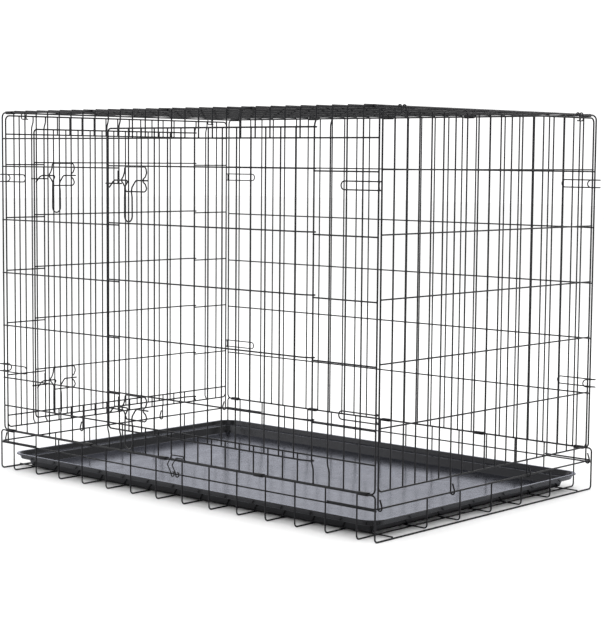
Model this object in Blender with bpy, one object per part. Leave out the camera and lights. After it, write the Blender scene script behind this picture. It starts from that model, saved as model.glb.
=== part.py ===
"""Folding wire dog crate: welded wire panels, two swing doors, slide bolts and a floor tray.

Frame: metres, +Z up, origin on the floor under the middle of the crate.
The long side with the door faces -Y, the plain end faces +X, the end with the door faces -X.
Every panel is drawn in its own (along, out, up) axes and placed by a Side.
"""
import math
from dataclasses import dataclass
from typing import Callable

import bmesh
import bpy
from mathutils import Matrix, Vector

# Overall sizes: between the corner rods of the panels, and the height of the top rods.
LENGTH = 28 * 0.0381
WIDTH = 0.706
RAIL_TOP_Z = 0.786

# Wire and rod radii.
ROD_R = 0.0020
WIRE_R = 0.0016
EDGE_WIRE_R = 0.0018
DOOR_ROD_R = 0.0020
LATCH_R = 0.0016
HOOK_R = 0.0012
CLEARANCE = 0.0003
LAYER_GAP = 0.0002
LAYER = WIRE_R + 0.75 * LAYER_GAP
FLAT = math.sqrt(0.5)

# Grid of the panels.
LONG_BAYS = 28
END_BAYS = 19
ROW_BAYS = 6
PANEL_FOOT_Z = 0.088
END_FOOT_Z = 0.092
END_DROP = 0.006
END_INSET = 0.009
CORNER_BEND = 0.012
PITCH_X = LENGTH / LONG_BAYS
PITCH_Y = (WIDTH - 2 * END_INSET) / END_BAYS
ROW_STEP = (RAIL_TOP_Z - PANEL_FOOT_Z) / ROW_BAYS

# Roof: its border rods lie just inside the long panels' top rods.
ROOF_INSET = 2 * ROD_R + 6 * CLEARANCE

# Base basket.
BASE_OUT = 0.0050
RAIL_OUT = 0.0045
BASE_TOP_Z = 0.0875
END_RAIL_Z = 0.0625
MID_RAIL_Z = 0.0590
FLOOR_WIRES = 7
FOOT_TIP = 0.0165
WRAP = 0.115
BEND = 0.008

# Tray.
TRAY_GAP = 0.012
TRAY_SKIRT_Z = 0.018
TRAY_RIM_Z = 0.036
TRAY_WALL = 0.0024
TRAY_STEP_Z = 0.026
TRAY_CORNER = 0.030

# Doors: how the door stands off its panel, and the jog of the wires beside the doorway.
DOOR_OUT = 0.0077
DOOR_LIFT = 0.0045
JOG = 0.0015
JOG_ROOT = 0.0030
JOG_LENGTH = 0.012
JOG_CLEAR = 0.0035
DOOR_FIRST = 0.040
DOOR_EDGE_LAP = 0.0125

# Latches, measured from the free edge rod of the door and from the bolt's centre line.
BOLT_DROP = 0.0289
BOLT_OUT = 0.0106
HANDLE_LENGTH = 0.0835
HANDLE_OUT = 0.0168
BRACKET_OUT = 0.0129
BRACKET_HUMP = 0.0018
BRACKET_UP = 0.0274
BRACKET_DOWN = 0.0225
KEEPER_DROP = 0.0070

# Corner hooks.
HOOK_LONG = 0.084
HOOK_SHORT = 0.027
HOOK_APEX = 0.0120
HOOK_HALF = 0.0078
HOOK_ANGLE = math.radians(60)
UPPER_HOOK_DROP = 0.1415
LOWER_HOOK_RISE = 0.1385

# Rail clips and double hooks.
CLIP_LENGTH = 0.022
CLIP_WALL = 0.0008
CLIP_SLACK = 0.0006
CLIP_BAYS_TOP = (0, 7, 13, 19, 27)
CLIP_BAYS_FOOT = (0, 7, 13, 20, 27)
CURL_HALF = 0.0065
TOP_HOOK_DROP = 0.0125

# Side hook, measured along from the first leg.
SIDE_HOOK_BAY = 14
SIDE_HOOK_START = 0.0075
SIDE_LEG_GAP = 0.0135
SIDE_EYE = 0.0045
SIDE_ELBOW_OUT = 0.0165
SIDE_ELBOW_Z = 0.0800
SIDE_BAR_OUT = 0.0040
SIDE_BAR_LENGTH = 0.0335
SIDE_BAR_Z = 0.0975

Point = tuple[float, float, float]
Path = list[Point]
Material = bpy.types.Material
Object = bpy.types.Object


@dataclass(frozen=True)
class Side:
    """One wall of the crate: turns (along, out, up) into crate coordinates."""

    place: Callable[[float, float, float], Point]

    def path(self, points: Path) -> Path:
        """Return the path in crate coordinates."""
        return [self.place(*point) for point in points]


def front(along: float, out: float, up: float) -> Point:
    """Door side, facing -Y; along runs from the left corner to the right."""
    return (along - LENGTH / 2, -WIDTH / 2 - out, up)


def rear(along: float, out: float, up: float) -> Point:
    """Plain long side, facing +Y."""
    return (along - LENGTH / 2, WIDTH / 2 + out, up)


def left(along: float, out: float, up: float) -> Point:
    """Door end, facing -X; along runs from the front corner to the rear."""
    return (-LENGTH / 2 - out, along - WIDTH / 2, up)


def right(along: float, out: float, up: float) -> Point:
    """Plain end, facing +X."""
    return (LENGTH / 2 + out, along - WIDTH / 2, up)


FRONT = Side(front)
REAR = Side(rear)
LEFT = Side(left)
RIGHT = Side(right)


def clear_scene() -> None:
    """Remove whatever the scene held."""
    for old in list(bpy.data.objects):
        bpy.data.objects.remove(old, do_unlink=True)


def finish(name: str, colour: Point, roughness: float, metallic: float) -> Material:
    """Return a Principled material."""
    material = bpy.data.materials.new(name)
    material.use_nodes = True
    shader = material.node_tree.nodes["Principled BSDF"]
    shader.inputs["Base Color"].default_value = (*colour, 1.0)
    shader.inputs["Roughness"].default_value = roughness
    shader.inputs["Metallic"].default_value = metallic
    return material


def arc(centre: tuple[float, float], radius: float, start: float, end: float, steps: int) -> list:
    """Return points of an arc in a plane; angles in degrees."""
    points = []
    for step in range(steps + 1):
        angle = math.radians(start + (end - start) * step / steps)
        points.append((centre[0] + radius * math.cos(angle), centre[1] + radius * math.sin(angle)))
    return points


def rounded_box(low: tuple, high: tuple, radius: float, steps: int = 3) -> list:
    """Return a closed rounded rectangle, counter-clockwise."""
    (x0, y0), (x1, y1) = low, high
    corners = ((x1 - radius, y0 + radius, -90), (x1 - radius, y1 - radius, 0),
               (x0 + radius, y1 - radius, 90), (x0 + radius, y0 + radius, 180))
    points = []
    for cx, cy, start in corners:
        points += arc((cx, cy), radius, start, start + 90, steps)
    return points


def link(name: str, edit: bmesh.types.BMesh) -> Object:
    """Turn the edited mesh into a linked object, its faces looking out."""
    bmesh.ops.recalc_face_normals(edit, faces=edit.faces)
    mesh = bpy.data.meshes.new(name)
    edit.to_mesh(mesh)
    edit.free()
    body = bpy.data.objects.new(name, mesh)
    bpy.context.scene.collection.objects.link(body)
    return body


def sections(path: Path, radius: float, sides: int, closed: bool, flat: bool) -> list:
    """Return the mitred cross sections of a wire that follows the path, and the closing shift."""
    points = [Vector(point) for point in path]
    count = len(points)
    runs = [(points[(i + 1) % count] - points[i]).normalized() for i in range(count)]
    if not closed:
        runs[-1] = runs[-2]
    lean = min(range(3), key=lambda axis: (round(abs(runs[0][axis]), 6), axis))
    start = Vector([1.0 if axis == lean else 0.0 for axis in range(3)])
    start = (start - runs[0] * start.dot(runs[0])).normalized()
    normals = [start]
    for i in range(1, count + 1):
        turn = runs[i - 1].rotation_difference(runs[i % count])
        normals.append(turn @ normals[-1])
    step = 2 * math.pi / sides
    shift = 0
    slack = 0.0
    if closed:
        last = normals[-1]
        twist = math.atan2(runs[0].dot(last.cross(start)), last.dot(start))
        shift = round(twist / step)
        slack = twist - shift * step
    rings = []
    for i in range(count):
        before = runs[i - 1] if closed or i > 0 else runs[0]
        mitre = (before + runs[i]).normalized()
        across = runs[i].cross(normals[i])
        ring = []
        for side in range(sides):
            angle = step * (side + 0.5 * flat) + slack * i / count
            spoke = (normals[i] * math.cos(angle) + across * math.sin(angle)) * radius
            ring.append(points[i] + spoke - runs[i] * (spoke.dot(mitre) / runs[i].dot(mitre)))
        rings.append(ring)
    return [rings, shift]


def wires(name: str, paths: list[Path], radius: float, sides: int = 4, closed: bool = False,
          flat: bool = False) -> Object:
    """Return a mesh object with one wire along each path."""
    edit = bmesh.new()
    for path in paths:
        places, shift = sections(path, radius, sides, closed, flat)
        rings = [[edit.verts.new(place) for place in ring] for ring in places]
        pairs = list(zip(rings, rings[1:]))
        if closed:
            pairs.append((rings[-1], [rings[0][(i - shift) % sides] for i in range(sides)]))
        else:
            edit.faces.new(rings[0][::-1])
            edit.faces.new(rings[-1])
        for one, two in pairs:
            for i in range(sides):
                after = (i + 1) % sides
                edit.faces.new((one[i], one[after], two[after], two[i]))
    return link(name, edit)


def weld(name: str, parts: list[Object]) -> Object:
    """Join the parts into one closed body and drop the loose ones."""
    target = parts[0]
    for part in parts[1:]:
        union = target.modifiers.new("weld", "BOOLEAN")
        union.operation = "UNION"
        union.solver = "EXACT"
        union.object = part
    bpy.context.view_layer.update()
    graph = bpy.context.evaluated_depsgraph_get()
    mesh = bpy.data.meshes.new_from_object(target.evaluated_get(graph))
    for part in parts:
        bpy.data.objects.remove(part)
    body = bpy.data.objects.new(name, mesh)
    bpy.context.scene.collection.objects.link(body)
    return body


def settle(body: Object, name: str, material: Material, pivot: Point = (0.0, 0.0, 0.0)) -> Object:
    """Name the body, dress it and put its origin on its joint's axis."""
    mesh = body.data
    mesh.transform(Matrix.Translation(-Vector(pivot)))
    body.location = pivot
    body.name = name
    mesh.name = name
    mesh.materials.clear()
    mesh.materials.append(material)
    mesh.shade_smooth()
    mesh.set_sharp_from_angle(angle=math.radians(65))
    return body


def row_heights(foot: float) -> list[float]:
    """Return the heights of a panel's five long wires."""
    return [foot + ROW_STEP * row for row in range(1, ROW_BAYS)]


@dataclass(frozen=True)
class Doorway:
    """The opening in a panel and the door that covers it."""

    side: Side
    span: float
    start: float
    pitch: float
    edge_bay: int
    hinge_bay: int
    foot: float
    sill: float
    head: float
    door_low: float
    door_high: float
    lift: float

    @property
    def edge(self) -> float:
        """Place of the upright on the free side of the opening."""
        return self.start + self.edge_bay * self.pitch - JOG

    @property
    def hinge(self) -> float:
        """Place of the upright that the door hangs on."""
        return self.start + self.hinge_bay * self.pitch - JOG

    @property
    def free(self) -> float:
        """Place of the door's free edge rod."""
        return self.start + (self.edge_bay - 1) * self.pitch + DOOR_EDGE_LAP

    @property
    def rows(self) -> list[float]:
        """Heights of the door's long wires."""
        return [height + self.lift for height in row_heights(self.foot)]


SIDE_DOORWAY = Doorway(FRONT, LENGTH, 0.0, PITCH_X, 10, 24, PANEL_FOOT_Z, PANEL_FOOT_Z + 0.054,
                       RAIL_TOP_Z - 0.056, PANEL_FOOT_Z + 0.044, RAIL_TOP_Z - 0.036, DOOR_LIFT)
END_DOORWAY = Doorway(LEFT, WIDTH, END_INSET, PITCH_Y, 3, 16, END_FOOT_Z, END_FOOT_Z + 0.026,
                      RAIL_TOP_Z - 0.046, END_FOOT_Z + 0.011, RAIL_TOP_Z - 0.034, DOOR_LIFT)


def jogged(doorway: Doorway, along: float, out: float, low: float, high: float) -> Path:
    """Return an upright that steps aside beside the doorway."""
    upper = doorway.door_high + JOG_CLEAR
    lower = doorway.door_low - JOG_CLEAR
    lower_end = max(lower - JOG_LENGTH, low + 0.004)
    return doorway.side.path([
        (along + JOG_ROOT, out, high), (along + JOG_ROOT, out, upper + JOG_LENGTH),
        (along - JOG, out, upper), (along - JOG, out, lower),
        (along + JOG_ROOT, out, lower_end), (along + JOG_ROOT, out, low)])


def panel_ring(side: Side, start: float, end: float, low: float, high: float, name: str) -> Object:
    """Return the closed border rod of a panel."""
    outline = rounded_box((start, low), (end, high), CORNER_BEND)
    return wires(name, [side.path([(x, 0.0, z) for x, z in outline])], ROD_R, closed=True)


def straight(side: Side, ends: list[tuple]) -> list[Path]:
    """Return straight wires between pairs of points in a side's own axes."""
    return [side.path([first, last]) for first, last in ends]


def plain_panel(side: Side, name: str, start: float, end: float, bays: int, foot: float,
                high: float) -> Object:
    """Return a panel without a doorway."""
    pitch = (end - start) / bays
    ring = panel_ring(side, start, end, foot, high, name)
    rows = [((start, LAYER, z), (end, LAYER, z)) for z in row_heights(foot)]
    uprights = [((start + bay * pitch, -LAYER, foot), (start + bay * pitch, -LAYER, high))
                for bay in range(1, bays)]
    parts = [ring, wires("rows", straight(side, rows), WIRE_R),
             wires("uprights", straight(side, uprights), WIRE_R)]
    return weld(name, parts)


def door_panel(doorway: Doorway, name: str, end: float, bays: int, high: float) -> Object:
    """Return a panel with a doorway in it."""
    side, start, foot = doorway.side, doorway.start, doorway.foot
    ring = panel_ring(side, start, end, foot, high, name)
    rows = []
    for z in row_heights(foot):
        rows.append(((start, LAYER, z), (doorway.edge, LAYER, z)))
        rows.append(((doorway.hinge, LAYER, z), (end, LAYER, z)))
    cross = [((start, 0.0, z), (end, 0.0, z)) for z in (doorway.sill, doorway.head)]
    uprights = []
    posts = []
    for bay in range(1, bays):
        x = start + bay * doorway.pitch
        if bay in (doorway.edge_bay, doorway.hinge_bay):
            posts.append(jogged(doorway, x, 0.0, foot, high))
        elif bay in (doorway.edge_bay - 1, doorway.hinge_bay + 1):
            uprights.append(jogged(doorway, x, -LAYER, foot, high))
        elif doorway.edge_bay < bay < doorway.hinge_bay:
            uprights += straight(side, [((x, -LAYER, foot), (x, -LAYER, doorway.sill)),
                                        ((x, -LAYER, doorway.head), (x, -LAYER, high))])
        else:
            uprights += straight(side, [((x, -LAYER, foot), (x, -LAYER, high))])
    parts = [ring, wires("rows", straight(side, rows), WIRE_R),
             wires("cross", straight(side, cross), EDGE_WIRE_R),
             wires("posts", posts, EDGE_WIRE_R), wires("uprights", uprights, WIRE_R)]
    return weld(name, parts)


def hinge_loop(doorway: Doorway, out: float, up: float, radius: float) -> Path:
    """Return the eye that a door wire makes round the hinge upright, from the door inwards."""
    reach = EDGE_WIRE_R + CLEARANCE + radius + 0.0002
    lead = [(doorway.hinge - 0.018, out, up)]
    eye = [(doorway.hinge + x, y, up) for x, y in arc((0.0, 0.0), reach, 105, -150, 8)]
    return lead + eye


def door(doorway: Doorway, name: str) -> Object:
    """Return a swing door: bent border rod, uprights and long wires with hinge eyes."""
    side, free = doorway.side, doorway.free
    low, high = doorway.door_low, doorway.door_high
    upper = [(x, DOOR_OUT, z) for x, z in arc((free + BEND, high - BEND), BEND, 90, 180, 3)]
    lower = [(x, DOOR_OUT, z) for x, z in arc((free + BEND, low + BEND), BEND, 180, 270, 3)]
    border = hinge_loop(doorway, DOOR_OUT, high, DOOR_ROD_R)[::-1] + upper + lower
    border += hinge_loop(doorway, DOOR_OUT, low, DOOR_ROD_R)
    rows = [side.path([(free, DOOR_OUT + LAYER, z)]
                      + hinge_loop(doorway, DOOR_OUT + LAYER, z, WIRE_R)) for z in doorway.rows]
    first = doorway.hinge - DOOR_FIRST
    count = int((first - free - 1.4 * doorway.pitch) / doorway.pitch) + 1
    uprights = [((first - step * doorway.pitch, DOOR_OUT - LAYER, low),
                 (first - step * doorway.pitch, DOOR_OUT - LAYER, high)) for step in range(count)]
    parts = [wires(name, [side.path(border)], DOOR_ROD_R, 6), wires("rows", rows, WIRE_R),
             wires("uprights", straight(side, uprights), WIRE_R)]
    return weld(name, parts)


def bracket_path(doorway: Doorway, bolt: float) -> Path:
    """Return the closed loop that guides a bolt, pinched where the bolt runs through it."""
    free = doorway.free
    top, foot = bolt + BRACKET_UP, bolt - BRACKET_DOWN
    pinch = BRACKET_OUT + BRACKET_HUMP
    return [
        (free + 0.0590, BRACKET_OUT, top), (free + 0.1158, BRACKET_OUT, top),
        (free + 0.1195, BRACKET_OUT, top - 0.0040), (free + 0.1210, BRACKET_OUT, bolt + 0.0155),
        (free + 0.1175, BRACKET_OUT, bolt + 0.0075), (free + 0.1130, pinch, bolt + 0.0030),
        (free + 0.1130, pinch, bolt - 0.0030), (free + 0.1175, BRACKET_OUT, bolt - 0.0075),
        (free + 0.1210, BRACKET_OUT, bolt - 0.0155), (free + 0.1190, BRACKET_OUT, foot + 0.0025),
        (free + 0.1150, BRACKET_OUT, foot), (free + 0.0600, BRACKET_OUT, foot),
        (free + 0.0570, BRACKET_OUT, bolt - 0.0150), (free + 0.0520, BRACKET_OUT, bolt - 0.0070),
        (free + 0.0492, pinch, bolt - 0.0030), (free + 0.0492, pinch, bolt + 0.0030),
        (free + 0.0515, BRACKET_OUT, bolt + 0.0075), (free + 0.0555, BRACKET_OUT, bolt + 0.0170),
        (free + 0.0560, BRACKET_OUT, top - 0.0030)]


def bolt_path(doorway: Doorway, bolt: float) -> Path:
    """Return the bolt: bent tip, rod, hanging U handle and tail, all one wire."""
    free = doorway.free
    lap = bolt - 0.014
    end = bolt - HANDLE_LENGTH
    tip = [(free + 0.0070, BOLT_OUT, bolt - 0.0150), (free + 0.0130, BOLT_OUT, bolt - 0.0085),
           (free + 0.0185, BOLT_OUT, bolt - 0.0025), (free + 0.0245, BOLT_OUT, bolt)]
    down = [(free + 0.0590, BOLT_OUT, bolt), (free + 0.0620, BOLT_OUT + 0.0005, bolt - 0.0030),
            (free + 0.0605, HANDLE_OUT, lap), (free + 0.0600, HANDLE_OUT, lap - 0.0180)]
    cup = [(x, HANDLE_OUT, z) for x, z in arc((free + 0.0714, end + 0.0113), 0.0113, 180, 360, 4)]
    back = [(free + 0.0824, HANDLE_OUT, lap - 0.0200), (free + 0.0803, HANDLE_OUT, lap - 0.0080),
            (free + 0.0820, HANDLE_OUT, lap), (free + 0.0850, BOLT_OUT + 0.0005, bolt - 0.0030),
            (free + 0.0880, BOLT_OUT, bolt)]
    return tip + down + cup + back + [(free + 0.1227, BOLT_OUT, bolt)]


def keeper(doorway: Doorway, bolt: float, name: str) -> Object:
    """Return the short wires on the panel that the bolt's tip laps over."""
    out = EDGE_WIRE_R + CLEARANCE + WIRE_R
    low = bolt - KEEPER_DROP
    stub = doorway.edge + 0.0015
    lap = doorway.side.path([(doorway.edge - doorway.pitch + 0.002, out, low),
                             (doorway.edge + 0.012, out, low)])
    post = doorway.side.path([(stub, out + 0.0001, low), (stub, out + 0.0001, bolt + 0.0195)])
    return weld(name, [wires(name, [lap], WIRE_R), wires("post", [post], WIRE_R, 6)])


def corner_hook(side: Side, far_end: bool, span: float, height: float, name: str) -> Object:
    """Return the bent wire loop that holds an end panel's edge rod at a corner."""
    out = 2 * LAYER + CLEARANCE + HOOK_R
    side_sign = 1.0 if far_end else -1.0
    corner = span if far_end else 0.0
    apex = corner + side_sign * HOOK_APEX

    def bend(run: float, lift: float) -> Point:
        """Run > 0 goes from the apex along the long side, run < 0 turns in past the corner."""
        if run >= 0.0:
            return (apex - side_sign * run, out, height + lift)
        inward = -run
        return (apex - side_sign * inward * math.cos(HOOK_ANGLE),
                out - inward * math.sin(HOOK_ANGLE), height + lift)

    long_run = HOOK_LONG + HOOK_APEX
    nose = arc((long_run - HOOK_HALF, 0.0), HOOK_HALF, 90, -90, 5)
    tail = arc((-HOOK_SHORT + HOOK_HALF, 0.0), HOOK_HALF, 270, 90, 5)
    loop = nose + [(0.0, -HOOK_HALF)] + tail + [(0.0, HOOK_HALF)]
    return wires(name, [side.path([bend(run, lift) for run, lift in loop])], HOOK_R, 4, closed=True)


def base_basket() -> Object:
    """Return the floor grid with its turned-up sides; its floor wires have flats underneath."""
    x, y = LENGTH / 2 + BASE_OUT, WIDTH / 2 + BASE_OUT
    rod_z, wire_z = ROD_R * FLAT, WIRE_R * FLAT
    frame = []
    for sx, sy in ((1, -1), (1, 1), (-1, 1), (-1, -1)):
        corner = [(sx * (x - BEND), sy * y, BASE_TOP_Z), (sx * (x - 0.002), sy * y, BASE_TOP_Z - 0.002),
                  (sx * x, sy * y, BASE_TOP_Z - BEND), (sx * x, sy * y, rod_z + BEND),
                  (sx * x, sy * (y - 0.002), rod_z + 0.002), (sx * x, sy * (y - BEND), rod_z)]
        frame += corner if sx * sy < 0 else corner[::-1]
    rx, ry = LENGTH / 2 + RAIL_OUT, WIDTH / 2 + RAIL_OUT
    rails = []
    for sx in (-1, 1):
        turn_a = [(sx * (rx - BEND / 2 + a), -(ry - BEND / 2) + b, END_RAIL_Z)
                  for a, b in arc((0.0, 0.0), BEND / 2, -90, 0, 3)]
        if sx < 0:
            turn_a = [(-(rx - BEND / 2 + a), -(ry - BEND / 2) + b, END_RAIL_Z)
                      for a, b in arc((0.0, 0.0), BEND / 2, -90, 0, 3)]
        turn_b = [(px, -py, pz) for px, py, pz in reversed(turn_a)]
        lead = (sx * (rx - WRAP), -ry, END_RAIL_Z)
        rails.append([lead] + turn_a + turn_b + [(lead[0], ry, END_RAIL_Z)])
    mid_y = y - 2 * LAYER
    mids = [[(-x, sy * mid_y, MID_RAIL_Z), (x, sy * mid_y, MID_RAIL_Z)] for sy in (-1, 1)]
    cross = []
    for bay in range(1, LONG_BAYS, 2):
        at = bay * PITCH_X - LENGTH / 2
        half = [(at, -y, BASE_TOP_Z), (at, -y, wire_z + BEND), (at, -y + 0.002, wire_z + 0.002),
                (at, -y + BEND, wire_z)]
        cross.append(half + [(px, -py, pz) for px, py, pz in reversed(half)])
    long_z = 3 * wire_z + LAYER_GAP
    runs = []
    step = 2 * y / FLOOR_WIRES
    for index in range(FLOOR_WIRES):
        at = (index - (FLOOR_WIRES - 1) / 2) * step
        if index in (0, FLOOR_WIRES - 1):
            half = [(-x, at, long_z), (-x + BEND, at, long_z)]
        else:
            half = [(-rx, at, END_RAIL_Z), (-rx, at, long_z + BEND), (-rx + 0.002, at, long_z + 0.002),
                    (-rx + BEND, at, long_z)]
        runs.append(half + [(-px, py, pz) for px, py, pz in reversed(half)])
    parts = [wires("base", [frame], ROD_R, closed=True, flat=True), wires("rails", rails, ROD_R),
             wires("mids", mids, WIRE_R), wires("cross", cross, WIRE_R, flat=True),
             wires("runs", runs, WIRE_R, flat=True)]
    return weld("base_basket", parts)


def top_panel() -> Object:
    """Return the roof: border rod, wires across above it and long wires below it."""
    x, y = LENGTH / 2, WIDTH / 2 - ROOF_INSET
    outline = [(px, py, RAIL_TOP_Z) for px, py in rounded_box((-x, -y), (x, y), BEND)]
    across = [[(bay * PITCH_X - x, -y, RAIL_TOP_Z + LAYER), (bay * PITCH_X - x, y, RAIL_TOP_Z + LAYER)]
              for bay in range(1, LONG_BAYS)]
    step = 2 * y / ROW_BAYS
    runs = [[(-x, row * step - y, RAIL_TOP_Z - LAYER), (x, row * step - y, RAIL_TOP_Z - LAYER)]
            for row in range(1, ROW_BAYS)]
    parts = [wires("top", [outline], ROD_R, closed=True), wires("across", across, WIRE_R),
             wires("runs", runs, WIRE_R)]
    return weld("top_panel", parts)


def foot_hooks(side: Side) -> list[Path]:
    """Return the four hooks that carry an end panel on the base's end rail."""
    paths = []
    for bay in (0, 6, 13, END_BAYS):
        at = END_INSET + bay * PITCH_Y
        curl = [(at, out, up) for out, up in arc((RAIL_OUT, END_RAIL_Z), RAIL_OUT, 180, 360, 6)]
        root = END_FOOT_Z + CORNER_BEND + 0.002 if bay in (0, END_BAYS) else END_FOOT_Z
        tip = [(at, 2 * RAIL_OUT, END_RAIL_Z + 0.0040), (at, 0.0045, END_RAIL_Z + FOOT_TIP)]
        paths.append(side.path([(at, 0.0, root)] + curl + tip))
    return paths


def floor_tray() -> Object:
    """Return the pan: hanging skirt, rim, stepped wall and flat floor, all of one thickness."""
    x, y = LENGTH / 2 + BASE_OUT - TRAY_GAP, WIDTH / 2 + BASE_OUT - TRAY_GAP
    low = 4 * WIRE_R * FLAT + LAYER_GAP + CLEARANCE
    floor = low + TRAY_WALL
    rim, step, wall = TRAY_RIM_Z, TRAY_STEP_Z, TRAY_WALL
    profile = [(0.038 - wall, low), (0.030 - wall, step - wall), (0.013 - wall, step - wall),
               (0.0086 - wall, rim - wall), (0.0008 + wall, rim - wall), (wall, TRAY_SKIRT_Z),
               (0.0, TRAY_SKIRT_Z), (0.0, rim - 0.0025), (0.0015, rim), (0.0080, rim),
               (0.0130, step), (0.0300, step), (0.0380, floor)]
    edit = bmesh.new()
    loops = []
    for inset, z in profile:
        outline = rounded_box((-x + inset, -y + inset), (x - inset, y - inset), TRAY_CORNER - 0.4 * inset, 4)
        loops.append([edit.verts.new((px, py, z)) for px, py in outline])
    for lower, upper in zip(loops, loops[1:]):
        for index, vertex in enumerate(lower):
            after = (index + 1) % len(lower)
            edit.faces.new((vertex, lower[after], upper[after], upper[index]))
    edit.faces.new(list(reversed(loops[0])))
    edit.faces.new(loops[-1])
    return link("floor_tray", edit)


def clip(centre: Point, spread: float, name: str) -> Object:
    """Return a flattened sleeve round two rods that lie side by side along X."""
    inner = ROD_R + CLIP_SLACK
    edit = bmesh.new()
    rings = []
    for end in (-CLIP_LENGTH / 2, CLIP_LENGTH / 2):
        for radius in (inner, inner + CLIP_WALL):
            ring = arc((spread / 2, 0.0), radius, -90, 90, 4) + arc((-spread / 2, 0.0), radius, 90, 270, 4)
            rings.append([edit.verts.new((centre[0] + end, centre[1] + a, centre[2] + b)) for a, b in ring])
    near_in, near_out, far_in, far_out = rings
    for one, two in ((near_in, near_out), (near_out, far_out), (far_out, far_in), (far_in, near_in)):
        for index in range(len(one)):
            after = (index + 1) % len(one)
            edit.faces.new((one[index], one[after], two[after], two[index]))
    return link(name, edit)


def clip_place(bay: int) -> float:
    """Return the middle of a clip, clear of the uprights and of the corner bends."""
    share = 0.5
    if bay == 0:
        share = 0.64
    if bay == LONG_BAYS - 1:
        share = 0.36
    return (bay + share) * PITCH_X - LENGTH / 2


def top_hook(side: Side, along: float, name: str) -> Object:
    """Return a wire clip: two curled eyes on the roof's end rod, joined by a loop that hangs down."""
    radius = ROD_R + CLEARANCE + HOOK_R + 0.0002
    leg_out = ROD_R + 0.0027
    tip_z = RAIL_TOP_Z - TOP_HOOK_DROP
    leg = [(a, RAIL_TOP_Z - b) for a, b in arc((0.0, 0.0), radius, 205, 360, 6)]
    leg += [(leg_out, RAIL_TOP_Z - 0.0050), (leg_out, tip_z + 0.0025),
            (leg_out - 0.0025, tip_z), (-0.0010, tip_z)]
    near = [(along - CURL_HALF, a, b) for a, b in leg]
    far = [(along + CURL_HALF, a, b) for a, b in reversed(leg)]
    return wires(name, [side.path(near + far)], HOOK_R)


def side_hook(along: float, name: str) -> Object:
    """Return the hook on the long side: two eyes on the base's middle rail, bent legs, a long bar."""
    rail_out, level = BASE_OUT - 2 * LAYER, MID_RAIL_Z
    eye_z = level - SIDE_EYE + WIRE_R + CLEARANCE + HOOK_R + 0.0002
    curl = [(rail_out + a, eye_z + b) for a, b in arc((0.0, 0.0), SIDE_EYE, -275, 25, 8)]
    leg = curl + [(SIDE_ELBOW_OUT, SIDE_ELBOW_Z)]
    low_z = SIDE_BAR_Z - 0.0050
    first = [(along, a, b) for a, b in leg + [(SIDE_BAR_OUT + 0.0010, SIDE_BAR_Z - 0.0010)]]
    bar = [(along + 0.0030, SIDE_BAR_OUT, SIDE_BAR_Z),
           (along + SIDE_BAR_LENGTH - 0.0025, SIDE_BAR_OUT, SIDE_BAR_Z),
           (along + SIDE_BAR_LENGTH, SIDE_BAR_OUT, SIDE_BAR_Z - 0.0025),
           (along + SIDE_BAR_LENGTH - 0.0025, SIDE_BAR_OUT, low_z),
           (along + SIDE_LEG_GAP + 0.0030, SIDE_BAR_OUT, low_z)]
    second = [(along + SIDE_LEG_GAP, a, b)
              for a, b in reversed(leg + [(SIDE_BAR_OUT + 0.0015, low_z - 0.0005)])]
    return wires(name, [FRONT.path(first + bar + second)], HOOK_R)


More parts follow.
